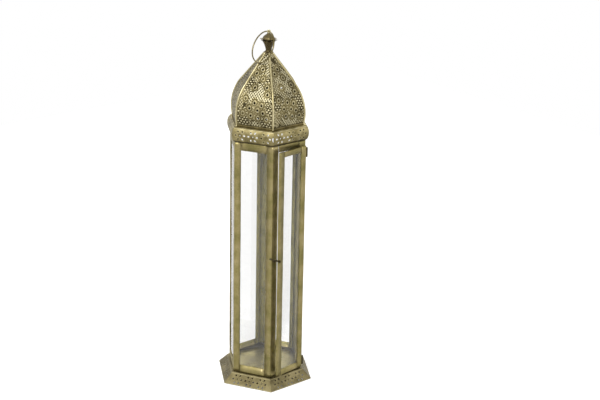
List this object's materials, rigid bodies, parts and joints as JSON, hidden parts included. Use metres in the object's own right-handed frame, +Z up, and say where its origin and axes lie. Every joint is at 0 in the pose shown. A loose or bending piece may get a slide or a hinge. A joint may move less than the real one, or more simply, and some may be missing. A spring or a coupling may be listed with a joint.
{
  "type": "hanging lantern",
  "caption": "Tall hexagonal candle lantern in pierced antiqued brass with glass sides, a hinged glazed door with a latch, an onion dome and a hanging ring.",
  "frame": {"origin": "on the ground at the centre of the foot", "axes": "+Z up through the finial, -Y out through the door, the door's hinge towards +X, the ring leaning towards -X"},
  "size_m": [0.2, 0.1736, 0.6998],
  "materials": {
    "frame_brass": "hand-folded brass sheet, aged to a dull olive tan",
    "pierced_brass": "pressed and pierced brass sheet, antiqued",
    "dome_brass": "chased and pierced brass sheet, dark patina in the hollows and bright on the raised metal",
    "bright_brass": "half-round brass wire, rubbed bright",
    "dark_brass": "cast brass with a dark brown patina",
    "hinge_brass": "dull brass fittings with tarnish",
    "tray_brass": "flat brass sheet, slightly shiny",
    "clear_glass": "clear window glass"
  },
  "bodies": {
    "lantern": {"skirt_panel_1": "pierced_brass", "skirt_panel_2": "pierced_brass", "skirt_panel_3": "pierced_brass", "skirt_panel_4": "pierced_brass", "skirt_panel_5": "pierced_brass", "skirt_panel_6": "pierced_brass", "floor_tray": "tray_brass", "corner_post_1": "frame_brass", "corner_post_2": "frame_brass", "corner_post_3": "frame_brass", "corner_post_4": "frame_brass", "corner_post_5": "frame_brass", "corner_post_6": "frame_brass", "top_rail_1": "frame_brass", "top_rail_2": "frame_brass", "top_rail_3": "frame_brass", "top_rail_4": "frame_brass", "top_rail_5": "frame_brass", "door_lintel": "frame_brass", "bottom_rail_1": "frame_brass", "bottom_rail_2": "frame_brass", "bottom_rail_3": "frame_brass", "bottom_rail_4": "frame_brass", "bottom_rail_5": "frame_brass", "door_sill": "frame_brass", "glass_pane_1": "clear_glass", "glass_pane_2": "clear_glass", "glass_pane_3": "clear_glass", "glass_pane_4": "clear_glass", "glass_pane_5": "clear_glass", "cornice_1": "pierced_brass", "cornice_2": "pierced_brass", "cornice_3": "pierced_brass", "cornice_4": "pierced_brass", "cornice_5": "pierced_brass", "cornice_6": "pierced_brass", "dome_gore_1": "dome_brass", "dome_gore_2": "dome_brass", "dome_gore_3": "dome_brass", "dome_gore_4": "dome_brass", "dome_gore_5": "dome_brass", "dome_gore_6": "dome_brass", "dome_ribs": "bright_brass", "neck_collar": "dark_brass", "finial_cup": "dark_brass", "finial_bud": "dark_brass", "finial_stem": "dark_brass", "hinge_leaves": "hinge_brass", "hinge_pins": "hinge_brass", "latch_keeper": "hinge_brass"},
    "door": {"door_hinge_stile": "frame_brass", "door_latch_stile": "frame_brass", "door_top_rail": "frame_brass", "door_bottom_rail": "frame_brass", "door_glass": "clear_glass", "door_knuckles": "hinge_brass", "latch_pivot": "hinge_brass"},
    "latch": {"latch_lever": "hinge_brass"},
    "ring": {"hanging_ring": "bright_brass"}
  },
  "joints": [
    {"name": "door_hinge", "type": "hinge", "parent": "lantern", "child": "door", "pos_m": [0.03955, -0.06982, 0.256], "axis": [0, 0, 1], "range_deg": [-7, 103]},
    {"name": "latch_turn", "type": "hinge", "parent": "door", "child": "latch", "pos_m": [-0.03031, -0.08101, 0.27], "axis": [0.1219, -0.9925, 0], "range_deg": [-64, 116]},
    {"name": "ring_swing", "type": "hinge", "parent": "lantern", "child": "ring", "pos_m": [0, 0, 0.69619], "axis": [0, 1, 0], "range_deg": [0, 310]}
  ]
}
